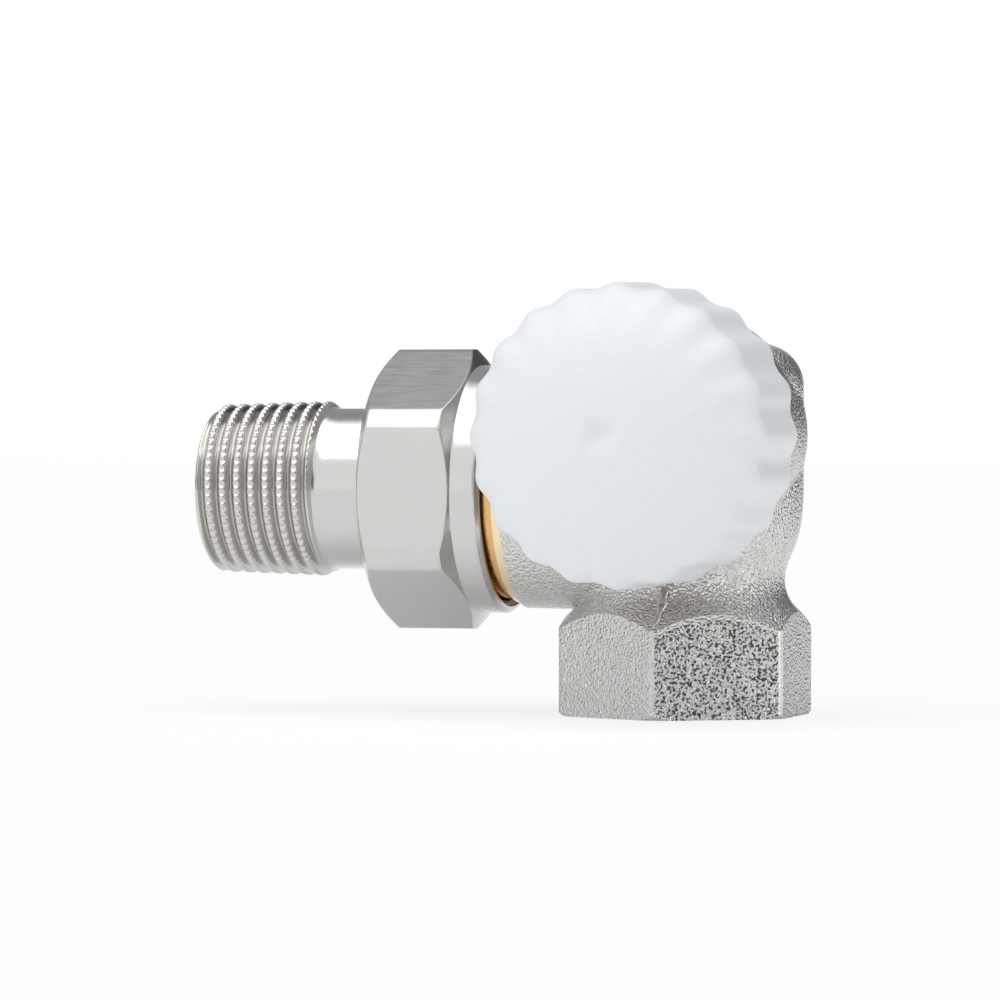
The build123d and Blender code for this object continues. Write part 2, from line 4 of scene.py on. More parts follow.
import bpy
import numpy as np
from bpy.props import FloatProperty, FloatVectorProperty, IntProperty, PointerProperty
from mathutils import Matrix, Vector


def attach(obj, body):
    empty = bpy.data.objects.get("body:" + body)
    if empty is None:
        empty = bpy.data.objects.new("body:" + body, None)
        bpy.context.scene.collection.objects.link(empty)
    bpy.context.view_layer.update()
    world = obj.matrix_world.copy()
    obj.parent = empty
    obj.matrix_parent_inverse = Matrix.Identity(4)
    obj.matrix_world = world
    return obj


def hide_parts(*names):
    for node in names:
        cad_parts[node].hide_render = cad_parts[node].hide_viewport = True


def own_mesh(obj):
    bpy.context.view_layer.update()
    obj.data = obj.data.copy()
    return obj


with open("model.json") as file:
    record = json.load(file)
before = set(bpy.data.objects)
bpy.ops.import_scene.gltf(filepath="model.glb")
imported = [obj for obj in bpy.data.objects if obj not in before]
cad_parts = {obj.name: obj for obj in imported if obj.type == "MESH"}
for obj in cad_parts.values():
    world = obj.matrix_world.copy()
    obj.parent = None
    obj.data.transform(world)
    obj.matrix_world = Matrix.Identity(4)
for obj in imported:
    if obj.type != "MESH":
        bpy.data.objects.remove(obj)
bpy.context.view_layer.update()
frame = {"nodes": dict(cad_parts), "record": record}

bl_info = {
    "name": "Radiator valve body",
    "version": (1, 0, 0),
    "blender": (4, 5, 0),
    "location": "3D View > Sidebar > Valve",
    "description": "Dresses the packed radiator valve body and sets up its studio",
    "category": "Object",
}

MM = 0.001

# The span of values that a noise texture really fills
NOISE_LOW = 0.3
NOISE_HIGH = 0.7

# Soft cards and cloths of the studio: direction from the object, half-angle of the full part,
# half-angle where it has faded out, and brightness, where 1 is white. Later ones cover earlier ones.
STUDIO_CARDS = (
    ((-1.0, -0.3, 0.0), 35, 60, 0.55),
    ((0.70, -0.71, 0.0), 16, 32, 0.06),
    ((0.45, 0.90, -0.12), 28, 41, 0.03),
    ((-0.30, -0.95, 0.0), 18, 30, 1.05),
    ((0.996, 0.087, 0.1), 13, 21, 2.0),
    ((-0.12, -0.42, 0.90), 42, 56, 1.0),
    ((0.0, -0.1, 1.0), 22, 34, 2.05),
    ((-0.262, 0.965, 0.0), 8, 14, 1.0),
)

# The two side axes of the valve, as in the solids: heights above the inlet face
OUTLET_HEIGHT = 26.5
HEAD_HEIGHT = 33.0

# Outward direction of the inlet hexagon's flat that kept its coarse sand skin
SAND_FLAT = (0.5, -0.866, 0.0)

# Threads of the body: how far its ridges reach along the axis and the radii of their roots and crests
SPIGOT_THREAD = (21.6, 30.0), (12.85, 13.2)
HEAD_THREAD = (15.2, 21.9), (14.55, 14.86)
INLET_THREAD = (0.9, 13.2), (9.5, 8.95)

# Turned outlines along the outlet: reach, radius and the number of rows to the next point
NUT_OUTLINE = (
    (33.0, 9.85, 3), (36.2, 9.85, 6), (36.2, 14.5, 3), (36.1, 14.75, 24), (35.0, 16.65, 24),
    (25.9, 16.65, 24), (24.7, 14.72, 4), (24.5, 14.7, 8), (21.8, 14.7, 6), (21.3, 14.2, 3),
    (21.3, 13.85, 5), (21.9, 13.25, 8), (33.0, 13.25, 4),
)
TUBE_OUTLINE = (
    (57.9, 9.3, 2), (58.0, 9.2, 3), (58.0, 7.7, 2), (57.9, 7.6, 12), (26.8, 7.6, 3), (26.8, 8.82, 6),
    (31.0, 11.25, 3), (31.0, 12.3, 2), (31.1, 12.4, 3), (32.9, 12.4, 2), (33.0, 12.3, 4), (33.0, 9.7, 2),
    (33.1, 9.6, 8), (42.6, 9.6, 2), (43.2, 9.7, 1),
)

# Half of the nut's width across flats, and the width over which its edges are broken
NUT_HALF_FLATS = 15.0
NUT_EDGE = 0.05

# The tailpiece's taper thread: where it starts, the radius of its crest there, how much that radius
# falls with each millimetre, and the width over which its edges are broken
TAPER_START = 43.2
TAPER_RADIUS = 10.5
TAPER_FALL = 1 / 32
TAPER_EDGE = 0.03

# A key rib in the tailpiece's bore: half its width, its section, and its ends as reach and draw-in
RIB_HALF = 1.5
RIB_SECTION = ((-1.5, 7.6), (-1.5, 6.25), (-1.35, 6.05), (1.35, 6.05), (1.5, 6.25), (1.5, 7.6))
RIB_ENDS = ((55.0, 0.12), (54.9, 0.0), (43.1, 0.0), (43.0, 0.12))

# Rows of the cap from its inside to its skirt: place along the head's axis, radius and share of the lobes
CAP_INSIDE = (
    (36.05, 0.3, 0), (36.05, 3.0, 0), (35.4, 7.0, 0), (33.9, 10.6, 0), (30.45, 13.6, 0), (25.2, 13.6, 0),
    (25.2, 14.9, 0), (17.1, 14.9, 0), (16.8, 15.2, 0),
)
CAP_RIM = ((16.8, 16.9, 0.8), (16.85, 17.15, 0.95), (17.0, 17.28, 1.0))

# Outside of the cap: where its skirt starts and where its dome does, its radius at both, the dome's
# height, and the angle up the dome at which the lobes have run out
CAP_SKIRT = 17.3
CAP_SHOULDER = 30.45
CAP_REAR_RADIUS = 17.3
CAP_FRONT_RADIUS = 17.1
CAP_DOME = 8.0
CAP_LOBE_END = 52

# The seam that the mould's halves left under the cap, from the neck down to the hexagon's corner
SEAM = (
    (0.5, -11.68, 15.3), (0.5, -11.76, 14.9), (0.48, -11.95, 14.3), (0.42, -12.32, 13.55),
    (0.36, -12.75, 12.95), (0.3, -13.3, 12.35), (0.22, -13.9, 11.75), (0.12, -14.5, 11.12),
    (0.0, -14.95, 10.66),
)
SEAM_HALF_WIDTH = 0.45
SEAM_HEIGHT = 0.3
SEAM_LIFT = 0.1

# Return spring of the insert: where its foot stands on the guide bush, its length and travel,
# its turns, and the radii of its coil and wire
SPRING_FOOT = 11.5
SPRING_LENGTH = 7.9
SPRING_TURNS = 4.5
SPRING_RADIUS = 3.9
SPRING_WIRE = 0.45

# The stage, in metres: size of the floor and its drop under the object, and the soft lamp's size, its
# place and the point that it aims at
FLOOR_SIZE = 6.0
FLOOR_DROP = 0.00005
LAMP_SIZE = 0.35
LAMP_PLACE = (-0.35, -0.55, 0.85)
LAMP_AIM = (-0.02, -0.01, 0.03)

# How far the camera looks past the inlet's foot, to its left and up, in millimetres
VIEW_LEFT = 21.9
VIEW_UP = 25.3


def linear(colour):
    """Linear red, green and blue of an sRGB hex colour."""
    values = (int(colour[place : place + 2], 16) / 255 for place in (1, 3, 5))
    return tuple(v / 12.92 if v <= 0.04045 else ((v + 0.055) / 1.055) ** 2.4 for v in values)


def add_node(tree, kind, sets=None, feeds=None):
    """Adds a node; sets gives attributes or input values by name, feeds the sockets that lead in."""
    node = tree.nodes.new(kind)
    for name, value in (sets or {}).items():
        if isinstance(name, str) and hasattr(node, name):
            setattr(node, name, value)
        else:
            node.inputs[name].default_value = value
    for name, socket in (feeds or {}).items():
        tree.links.new(socket, node.inputs[name])
    return node


def new_material(name):
    """An empty node material, its node tree and its Principled shader."""
    material = bpy.data.materials.new(name)
    material.use_nodes = True
    tree = material.node_tree
    return material, tree, tree.nodes["Principled BSDF"]


class ValveSizes(bpy.types.PropertyGroup):
    """Sizes of the details that the solids leave plain."""

    thread_pitch: FloatProperty(
        name="Pipe thread pitch",
        description="Axial distance from crest to crest of the half-inch pipe thread, in millimetres",
        default=1.814,
        min=0.5,
    )
    thread_depth: FloatProperty(
        name="Pipe thread depth",
        description="Radial depth of the tailpiece's thread, in millimetres",
        default=0.95,
        min=0.1,
    )
    knurl_count: IntProperty(
        name="Knurl notches",
        description="Notches rolled across the thread's crests in one turn",
        default=64,
        min=8,
    )
    knurl_depth: FloatProperty(
        name="Knurl depth",
        description="Depth of the rolled notches, in millimetres",
        default=0.26,
        min=0.0,
    )
    head_pitch: FloatProperty(
        name="Head thread pitch",
        description="Axial distance from crest to crest of the head's thread, in millimetres",
        default=1.5,
        min=0.5,
    )
    cap_lobes: IntProperty(
        name="Cap lobes",
        description="Finger lobes round the protective cap",
        default=20,
        min=6,
    )
    cap_lobe_height: FloatProperty(
        name="Cap lobe height",
        description="Half the radial difference between lobe and valley, in millimetres",
        default=0.3,
        min=0.0,
    )
    cap_dish_radius: FloatProperty(
        name="Cap dish radius",
        description="Radius of the soft dish round the cap's moulding gate, in millimetres",
        default=2.6,
        min=0.1,
    )
    cap_dish_depth: FloatProperty(
        name="Cap dish depth",
        description="Depth of the soft dish round the cap's moulding gate, in millimetres",
        default=0.75,
        min=0.0,
    )
    blast_grain: FloatProperty(
        name="Blasting grain",
        description="Width of the marks that the blasting grit leaves on the casting, in millimetres",
        default=0.28,
        min=0.05,
    )
    sand_grain: FloatProperty(
        name="Sand grain",
        description="Width of the sharp pits on the flat that kept its sand skin, in millimetres",
        default=0.3,
        min=0.05,
    )
    skin_wave: FloatProperty(
        name="Casting waves",
        description="Width of the shallow waves that the sand mould leaves in the casting, in millimetres",
        default=1.8,
        min=0.2,
    )
    blast_depth: FloatProperty(
        name="Blasting depth",
        description="Height over the noise's full range, in millimetres; the marks fill about a third",
        default=0.42,
        min=0.0,
    )


class ValveColours(bpy.types.PropertyGroup):
    """Colours of the finishes."""

    nickel: FloatVectorProperty(
        name="Nickel plate",
        description="Warm grey of matt nickel over brass",
        subtype="COLOR",
        size=3,
        min=0,
        max=1,
        default=linear("#D6D5D3"),
    )
    blasted: FloatVectorProperty(
        name="Blasted nickel plate",
        description="Pale grey of nickel over the blasted casting",
        subtype="COLOR",
        size=3,
        min=0,
        max=1,
        default=linear("#DEDDDB"),
    )
    # Painted shade: a darker grey for the roots of the tailpiece's thread, where shade falls
    root_shade_painted: FloatVectorProperty(
        name="Nickel plate with painted root shade",
        description="Darker grey painted into the roots of the tailpiece's thread as shade",
        subtype="COLOR",
        size=3,
        min=0,
        max=1,
        default=linear("#B4B1AB"),
    )
    gunmetal: FloatVectorProperty(
        name="Bare gunmetal",
        description="Orange brown of freshly turned gunmetal",
        subtype="COLOR",
        size=3,
        min=0,
        max=1,
        default=linear("#E6B67C"),
    )
    # Painted highlight: a pale cream laid on the collar's band for the light that it catches
    painted_collar_highlight: FloatVectorProperty(
        name="Gunmetal with painted collar highlight",
        description="Pale cream painted on the collar behind the union nut as a highlight",
        subtype="COLOR",
        size=3,
        min=0,
        max=1,
        default=linear("#F6E2BE"),
    )
    brass: FloatVectorProperty(
        name="Bare brass",
        description="Yellow of turned brass",
        subtype="COLOR",
        size=3,
        min=0,
        max=1,
        default=linear("#D8B46C"),
    )
    steel: FloatVectorProperty(
        name="Stainless steel",
        description="Neutral grey of drawn stainless steel",
        subtype="COLOR",
        size=3,
        min=0,
        max=1,
        default=linear("#C9C8C5"),
    )
    cap: FloatVectorProperty(
        name="Cap plastic",
        description="Cool white of moulded polypropylene",
        subtype="COLOR",
        size=3,
        min=0,
        max=1,
        default=linear("#F0F3F6"),
    )
    rubber: FloatVectorProperty(
        name="Seal rubber",
        description="Black of moulded sealing rubber",
        subtype="COLOR",
        size=3,
        min=0,
        max=1,
        default=linear("#1B1B1C"),
    )
    floor: FloatVectorProperty(
        name="Floor",
        description="White of the studio floor",
        subtype="COLOR",
        size=3,
        min=0,
        max=1,
        default=linear("#FAFAFA"),
    )


class ValveStudio(bpy.types.PropertyGroup):
    """Camera and light of the studio."""

    azimuth: FloatProperty(
        name="Camera azimuth",
        description="Turn of the camera from the cap's axis towards +X",
        subtype="ANGLE",
        default=math.radians(16.3),
    )
    elevation: FloatProperty(
        name="Camera elevation",
        description="Height of the camera above the horizon",
        subtype="ANGLE",
        default=math.radians(0.9),
    )
    distance: FloatProperty(
        name="Camera distance",
        description="Distance from the camera to the inlet's axis",
        subtype="DISTANCE",
        unit="LENGTH",
        default=0.7,
        min=0.1,
    )
    lens: FloatProperty(
        name="Lens",
        description="Focal length on a 36 mm sensor, in millimetres",
        default=213.6,
        min=20.0,
    )
    key_power: FloatProperty(
        name="Key light",
        description="Power of the soft light above the camera, in watts",
        default=0.6,
        min=0.0,
    )
    room_level: FloatProperty(
        name="Room level",
        description="Brightness of the studio between its white cards",
        default=0.33,
        min=0.0,
    )
    room_mirrored: FloatProperty(
        name="White room in metal",
        description="How far the white background shows in metal",
        subtype="FACTOR",
        default=0.04,
        min=0.0,
        max=1.0,
    )
    floor_seen: FloatProperty(
        name="White floor",
        description="How far the floor is plain white to the camera; the rest keeps the shadow",
        subtype="FACTOR",
        default=0.8,
        min=0.0,
        max=1.0,
    )
    floor_mirrored: FloatProperty(
        name="White floor in metal",
        description="How far the floor is plain white in metal",
        subtype="FACTOR",
        default=0.25,
        min=0.0,
        max=1.0,
    )


def grid_object(name, rows, material, loop=False, ends=False):
    """A smooth mesh object from rows of points in millimetres, each row a closed ring; loop joins the
    last row to the first, and ends closes the first and the last row."""
    rows = np.asarray(rows, dtype=float)
    count, around = rows.shape[:2]
    first = np.arange(count if loop else count - 1)
    here = first[:, None] * around
    above = ((first + 1) % count)[:, None] * around
    column = np.arange(around)[None, :]
    turn = np.roll(column, -1, axis=1)
    corners = [here + column, here + turn, above + turn, above + column]
    faces = np.stack(corners, axis=-1).reshape(-1, 4).tolist()
    if ends:
        faces.append(list(range(around))[::-1])
        faces.append(list(range((count - 1) * around, count * around)))
    mesh = bpy.data.meshes.new(name)
    mesh.from_pydata((rows.reshape(-1, 3) * MM).tolist(), [], faces)
    mesh.polygons.foreach_set("use_smooth", np.ones(len(mesh.polygons), dtype=bool))
    mesh.materials.append(material)
    mesh.update()
    thing = bpy.data.objects.new(name, mesh)
    bpy.context.scene.collection.objects.link(thing)
    return thing


def about_outlet(reach, radius, angle):
    """Points at a reach along the outlet and a radius and angle about it."""
    reach, radius, angle = np.broadcast_arrays(reach, radius, angle)
    return np.stack([-reach, -radius * np.cos(angle), OUTLET_HEIGHT + radius * np.sin(angle)], axis=-1)


def about_head(place, radius, angle):
    """Points at a place along the head's axis and a radius and angle about it."""
    place, radius, angle = np.broadcast_arrays(place, radius, angle)
    return np.stack([radius * np.cos(angle), -place, HEAD_HEIGHT + radius * np.sin(angle)], axis=-1)


def about_inlet(height, radius, angle):
    """Points at a height over the inlet face and a radius and angle about its axis."""
    height, radius, angle = np.broadcast_arrays(height, radius, angle)
    return np.stack([radius * np.cos(angle), radius * np.sin(angle), height], axis=-1)


def ring_angles(count):
    """Angles of one ring as a single row."""
    return np.linspace(0, 2 * math.pi, count, endpoint=False)[None, :]


def soft_least(values, edge):
    """The least of several surfaces, with their meeting edges rounded over about the given width."""
    values = np.stack(np.broadcast_arrays(*values))
    return -edge * np.log(np.exp(-(values - values.min(axis=0)) / edge).sum(axis=0)) + values.min(axis=0)


def turned_rows(outline):
    """Places and radii along a turned outline, each straight stretch cut into its rows."""
    places, radii = [], []
    for (start, low, rows), (end, high, _) in zip(outline, outline[1:] + outline[:1]):
        part = np.linspace(0, 1, rows, endpoint=False)
        places.extend(start + (end - start) * part)
        radii.extend(low + (high - low) * part)
    return np.array(places)[:, None], np.array(radii)[:, None]


def thread_rows(start, end, pitch, root, crest, angle):
    """Places and radii of a thread that rises from its root to its crest and runs out at both ends."""
    rows_per_pitch = 12
    # Share of the half pitch at which the flank reaches the root, and the share that it takes up
    foot, flank = 0.9, 0.65
    place = np.linspace(start, end, round((end - start) / pitch * rows_per_pitch))[:, None]
    turn = place / pitch - angle / (2 * math.pi)
    off = 2 * np.abs((turn + 0.5) % 1 - 0.5)
    ridge = np.clip((foot - off) / flank, 0, 1)
    fade = np.clip(np.minimum(place - start, end - place) / pitch, 0, 1)
    return place, root + (crest - root) * ridge * fade


def cast_nickel(colours, sizes):
    """Nickel-plated gunmetal casting, blasted; bare where it was turned and tapped after plating."""
    # Grit blasting before plating leaves a satin grain that breaks up reflections. One flat kept its
    # sand skin, with sharp pits that carry painted shade up to a worn rim, and the corners beside it are
    # rubbed smooth.
    # Turned and tapped places are bare, orange brown and smoother, and the collar's band carries a painted
    # highlight in pale cream.
    satin_least, satin_most, rubbed = 0.2, 0.3, 0.15
    rubbed_relief, wave_share = 0.08, 0.2
    pit_rim, pit_floor, pit_shade = 0.515, 0.37, 0.12
    material, tree, shader = new_material("Nickel-plated gunmetal, blasted casting")
    spot = add_node(tree, "ShaderNodeTexCoord")
    place = add_node(
        tree, "ShaderNodeVectorMath", {"operation": "SCALE", "Scale": 1 / MM}, {0: spot.outputs["Object"]}
    ).outputs["Vector"]
    axes = add_node(tree, "ShaderNodeSeparateXYZ", feeds={"Vector": place})
    facing = add_node(
        tree,
        "ShaderNodeVectorMath",
        {"operation": "DOT_PRODUCT", 1: SAND_FLAT},
        {0: spot.outputs["Normal"]},
    ).outputs["Value"]
    level = add_node(tree, "ShaderNodeVectorMath", {"operation": "MULTIPLY", 1: (1, 1, 0)}, {0: place})
    reach = add_node(
        tree, "ShaderNodeVectorMath", {"operation": "LENGTH"}, {0: level.outputs["Vector"]}
    ).outputs["Value"]
    # Height plus distance from the inlet's axis is the same all over the hexagon's conical shoulder
    shoulder = add_node(
        tree, "ShaderNodeMath", {"operation": "ADD"}, {0: reach, 1: axes.outputs["Z"]}
    ).outputs["Value"]
    # Where each kind of surface lies: what it goes by, and the values at which it is none and full
    masks = {}
    for name, socket, none, full in (
        ("spigot", axes.outputs["X"], -18.95, -19.05),
        ("past collar", axes.outputs["X"], -20.05, -20.15),
        ("neck", axes.outputs["Y"], -16.6, -16.7),
        ("over hexagon", axes.outputs["Z"], 13.6, 14.0),
        ("socket", reach, 10.2, 10.1),
        ("under barrel", axes.outputs["Z"], 15.3, 15.1),
        ("hexagon", axes.outputs["Z"], 13.2, 12.4),
        ("brim", shoulder, 25.05, 25.2),
        ("corner", reach, 15.1, 15.28),
        ("rubbed side", axes.outputs["X"], 6.0, 8.0),
        ("sand flat", facing, 0.93, 0.98),
    ):
        masks[name] = add_node(
            tree, "ShaderNodeMapRange", {"From Min": none, "From Max": full}, {"Value": socket}
        ).outputs["Result"]
    for name, operation, one, other in (
        ("neck", "MULTIPLY", "neck", "over hexagon"),
        ("socket", "MULTIPLY", "socket", "under barrel"),
        ("corner", "MULTIPLY", "corner", "hexagon"),
        ("corner", "MULTIPLY", "corner", "rubbed side"),
        ("sand flat", "MULTIPLY", "sand flat", "hexagon"),
        ("brim", "MULTIPLY", "brim", "sand flat"),
        ("painted_pit_shade", "SUBTRACT", "sand flat", "brim"),
        ("tapped", "MAXIMUM", "neck", "socket"),
        ("turned", "MAXIMUM", "spigot", "tapped"),
        ("dull", "MAXIMUM", "past collar", "tapped"),
        ("worn", "MAXIMUM", "corner", "brim"),
        ("smooth", "MAXIMUM", "turned", "worn"),
    ):
        masks[name] = add_node(
            tree, "ShaderNodeMath", {"operation": operation}, {0: masks[one], 1: masks[other]}
        ).outputs["Value"]
    # Blasted and sand-skinned grain: width, share of the full depth, and detail
    grains = []
    for width, height, detail in ((sizes.blast_grain, 0.6, 0.3), (sizes.sand_grain, 1.0, 0.8)):
        pits = add_node(
            tree,
            "ShaderNodeTexNoise",
            {"Scale": 1 / width, "Detail": detail, "Roughness": 0.4},
            {"Vector": place},
        )
        grains.append(
            add_node(
                tree,
                "ShaderNodeMath",
                {"operation": "MULTIPLY_ADD", 1: height, 2: 0.5 - 0.5 * height},
                {0: pits.outputs["Fac"]},
            ).outputs["Value"]
        )
    relief = add_node(
        tree, "ShaderNodeMix", {"data_type": "FLOAT"}, {0: masks["sand flat"], 2: grains[0], 3: grains[1]}
    ).outputs[0]
    waves = add_node(
        tree, "ShaderNodeTexNoise", {"Scale": 1 / sizes.skin_wave, "Detail": 1.0}, {"Vector": place}
    )
    height = add_node(
        tree,
        "ShaderNodeMath",
        {"operation": "MULTIPLY_ADD", 1: wave_share},
        {0: waves.outputs["Fac"], 2: relief},
    ).outputs["Value"]
    depth = add_node(
        tree, "ShaderNodeMapRange", {"To Min": 1.0, "To Max": rubbed_relief}, {"Value": masks["smooth"]}
    ).outputs["Result"]
    bump = add_node(
        tree,
        "ShaderNodeBump",
        {"Distance": sizes.blast_depth * MM},
        {"Height": height, "Strength": depth},
    )
    # Painted shade: in the sand flat's pits the plate's colour falls to pit_shade, for the shade inside
    # them
    pits = add_node(
        tree, "ShaderNodeMapRange", {"From Min": pit_rim, "From Max": pit_floor}, {"Value": grains[1]}
    ).outputs["Result"]
    pits = add_node(tree, "ShaderNodeMath", {"operation": "MULTIPLY"}, {0: pits, 1: masks["painted_pit_shade"]})
    painted_pit_shade = (*(pit_shade * c for c in colours.blasted), 1)
    plated = add_node(
        tree,
        "ShaderNodeMix",
        {"data_type": "RGBA", 6: (*colours.blasted, 1), 7: painted_pit_shade},
        {0: pits.outputs["Value"]},
    )
    # Painted highlight: the collar's band takes the pale cream, the rest of the bare gunmetal its orange
    # brown
    bare = add_node(
        tree,
        "ShaderNodeMix",
        {"data_type": "RGBA", 6: (*colours.painted_collar_highlight, 1), 7: (*colours.gunmetal, 1)},
        {0: masks["dull"]},
    )
    colour = add_node(
        tree,
        "ShaderNodeMix",
        {"data_type": "RGBA"},
        {0: masks["turned"], 6: plated.outputs[2], 7: bare.outputs[2]},
    )
    swell = add_node(
        tree,
        "ShaderNodeTexNoise",
        {"Scale": 1 / sizes.skin_wave, "Detail": 2.0, "Roughness": 0.5},
        {"Vector": place},
    )
    rough = add_node(
        tree,
        "ShaderNodeMapRange",
        {"From Min": NOISE_LOW, "From Max": NOISE_HIGH, "To Min": satin_least, "To Max": satin_most},
        {"Value": swell.outputs["Fac"]},
    )
    bright = add_node(
        tree, "ShaderNodeMath", {"operation": "MAXIMUM"}, {0: masks["smooth"], 1: masks["sand flat"]}
    )
    rough = add_node(
        tree,
        "ShaderNodeMix",
        {"data_type": "FLOAT", 3: rubbed},
        {0: bright.outputs["Value"], 2: rough.outputs["Result"]},
    )
    tree.links.new(colour.outputs[2], shader.inputs["Base Color"])
    tree.links.new(rough.outputs[0], shader.inputs["Roughness"])
    tree.links.new(bump.outputs["Normal"], shader.inputs["Normal"])
    shader.inputs["Metallic"].default_value = 1.0
    return material


def worked_material(name, colour, metallic, roughness, marks, depth):
    """A finish with the marks of its making: their size along X, Y and Z and their depth in millimetres."""
    smoother, rougher, dulled = 0.04, 0.05, 0.93
    material, tree, shader = new_material(name)
    place = add_node(tree, "ShaderNodeTexCoord").outputs["Object"]
    lines = add_node(
        tree, "ShaderNodeMapping", {"Scale": tuple(1 / (mark * MM) for mark in marks)}, {"Vector": place}
    )
    noise = add_node(
        tree, "ShaderNodeTexNoise", {"Scale": 1.0, "Detail": 2.0}, {"Vector": lines.outputs["Vector"]}
    )
    rough = add_node(
        tree,
        "ShaderNodeMapRange",
        {
            "From Min": NOISE_LOW,
            "From Max": NOISE_HIGH,
            "To Min": roughness - smoother,
            "To Max": roughness + rougher,
        },
        {"Value": noise.outputs["Fac"]},
    )
    worn = add_node(
        tree,
        "ShaderNodeMix",
        {"data_type": "RGBA", 6: (*(dulled * c for c in colour), 1), 7: (*colour, 1)},
        {0: noise.outputs["Fac"]},
    )
    bump = add_node(tree, "ShaderNodeBump", {"Distance": depth * MM}, {"Height": noise.outputs["Fac"]})
    tree.links.new(worn.outputs[2], shader.inputs["Base Color"])
    tree.links.new(rough.outputs["Result"], shader.inputs["Roughness"])
    tree.links.new(bump.outputs["Normal"], shader.inputs["Normal"])
    shader.inputs["Metallic"].default_value = metallic
    return material


def paint_root_shade(material, colour):
    """Paints shade into the roots of the tailpiece's thread as a darker colour."""
    tree = material.node_tree
    shader = tree.nodes["Principled BSDF"]
    plain = shader.inputs["Base Color"].links[0].from_socket
    spot = add_node(tree, "ShaderNodeTexCoord").outputs["Object"]
    place = add_node(
        tree,
        "ShaderNodeVectorMath",
        {"operation": "MULTIPLY_ADD", 1: (1 / MM,) * 3, 2: (0, 0, -OUTLET_HEIGHT)},
        {0: spot},
    ).outputs["Vector"]
    along = add_node(tree, "ShaderNodeSeparateXYZ", feeds={"Vector": place}).outputs["X"]
    across = add_node(tree, "ShaderNodeVectorMath", {"operation": "MULTIPLY", 1: (0, 1, 1)}, {0: place})
    radius = add_node(
        tree, "ShaderNodeVectorMath", {"operation": "LENGTH"}, {0: across.outputs["Vector"]}
    ).outputs["Value"]
    crest = add_node(
        tree,
        "ShaderNodeMath",
        {"operation": "MULTIPLY_ADD", 1: TAPER_FALL, 2: TAPER_RADIUS + TAPER_START * TAPER_FALL},
        {0: along},
    ).outputs["Value"]
    depth = add_node(
        tree, "ShaderNodeMath", {"operation": "SUBTRACT"}, {0: crest, 1: radius}
    ).outputs["Value"]
    # The painted shade deepens under the crest, and ends before the neck, the end face and the bore
    share = None
    for socket, none, full in (
        (depth, 0.25, 0.95),
        (along, -43.8, -44.4),
        (along, -57.6, -57.2),
        (radius, 8.3, 8.6),
    ):
        mask = add_node(
            tree, "ShaderNodeMapRange", {"From Min": none, "From Max": full}, {"Value": socket}
        ).outputs["Result"]
        if share:
            mask = add_node(
                tree, "ShaderNodeMath", {"operation": "MULTIPLY"}, {0: share, 1: mask}
            ).outputs["Value"]
        share = mask
    # Painted shade: the darker colour is mixed in where the thread runs deep
    mixed = add_node(tree, "ShaderNodeMix", {"data_type": "RGBA", 7: (*colour, 1)}, {0: share, 6: plain})
    tree.links.new(mixed.outputs[2], shader.inputs["Base Color"])


def white_share(tree, seen, mirrored):
    """How far the surroundings turn plain white: seen to the camera, mirrored to gloss and glass."""
    rays = add_node(tree, "ShaderNodeLightPath")
    bounced = add_node(
        tree,
        "ShaderNodeMath",
        {"operation": "MAXIMUM"},
        {0: rays.outputs["Is Glossy Ray"], 1: rays.outputs["Is Transmission Ray"]},
    )
    bounced = add_node(
        tree, "ShaderNodeMath", {"operation": "MULTIPLY", 1: mirrored}, {0: bounced.outputs["Value"]}
    )
    return add_node(
        tree,
        "ShaderNodeMath",
        {"operation": "MULTIPLY_ADD", 1: seen},
        {0: rays.outputs["Is Camera Ray"], 2: bounced.outputs["Value"]},
    ).outputs["Value"]


def dress(node, material):
    """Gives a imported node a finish."""
    thing = frame["nodes"][node]
    thing.data.materials.clear()
    thing.data.materials.append(material)


class VALVE_OT_casting(bpy.types.Operator):
    """Finishes the cast body and cuts its three threads and its mould seam"""

    bl_idname = "valve.casting"
    bl_label = "Cast body"

    def execute(self, context):
        sizes = context.scene.valve_sizes
        colours = context.scene.valve_colours
        dress("valve_body", cast_nickel(colours, sizes))
        # Tapped gunmetal: bare orange brown, faintly mottled where the tool tore it
        tapped = worked_material(
            "Gunmetal, thread-cut", colours.gunmetal, 1.0, 0.26, (0.5, 0.5, 0.5), 0.004
        )
        angle = ring_angles(180)
        for name, about, pitch, (ends, radii) in (
            ("spigot_thread", about_outlet, sizes.thread_pitch, SPIGOT_THREAD),
            ("head_thread", about_head, sizes.head_pitch, HEAD_THREAD),
            ("inlet_thread", about_inlet, sizes.thread_pitch, INLET_THREAD),
        ):
            place, radius = thread_rows(*ends, pitch, *radii, angle)
            ridge = grid_object(name, about(place, radius, angle), tapped)
            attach(ridge, "body")
        # Nickel over the rough mould seam: the same plate, with the seam's own lumps
        plate = worked_material("Nickel plate, as cast", colours.blasted, 1.0, 0.2, (0.5, 0.5, 0.5), 0.06)
        path = np.array(SEAM)
        count = len(path)
        around = ring_angles(24)[0]
        # It is thickest below the neck, runs out at both ends and is lumpy between them
        run_out, thick, thin = 0.12, 1.7, 0.6
        lump_height, lump_step = 0.4, 2.3
        swell = np.sin(np.linspace(run_out, math.pi - run_out, count)) ** 0.5
        swell *= np.linspace(thick, thin, count)
        lumps = 1 + lump_height * np.sin(np.arange(count) * lump_step)
        along = np.gradient(path, axis=0)
        along /= np.linalg.norm(along, axis=1)[:, None]
        out = np.cross(along, (1.0, 0.0, 0.0))
        out /= np.linalg.norm(out, axis=1)[:, None]
        out *= np.sign(-out[:, 1])[:, None]
        rows = [
            spot
            + SEAM_LIFT * way
            + np.outer(np.cos(around), (SEAM_HALF_WIDTH * size, 0, 0))
            + np.outer(np.sin(around), SEAM_HEIGHT * size * way)
            for spot, way, size in zip(path, out, swell * lumps)
        ]
        seam = grid_object("mould_seam", rows, plate, ends=True)
        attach(seam, "body")
        return {"FINISHED"}


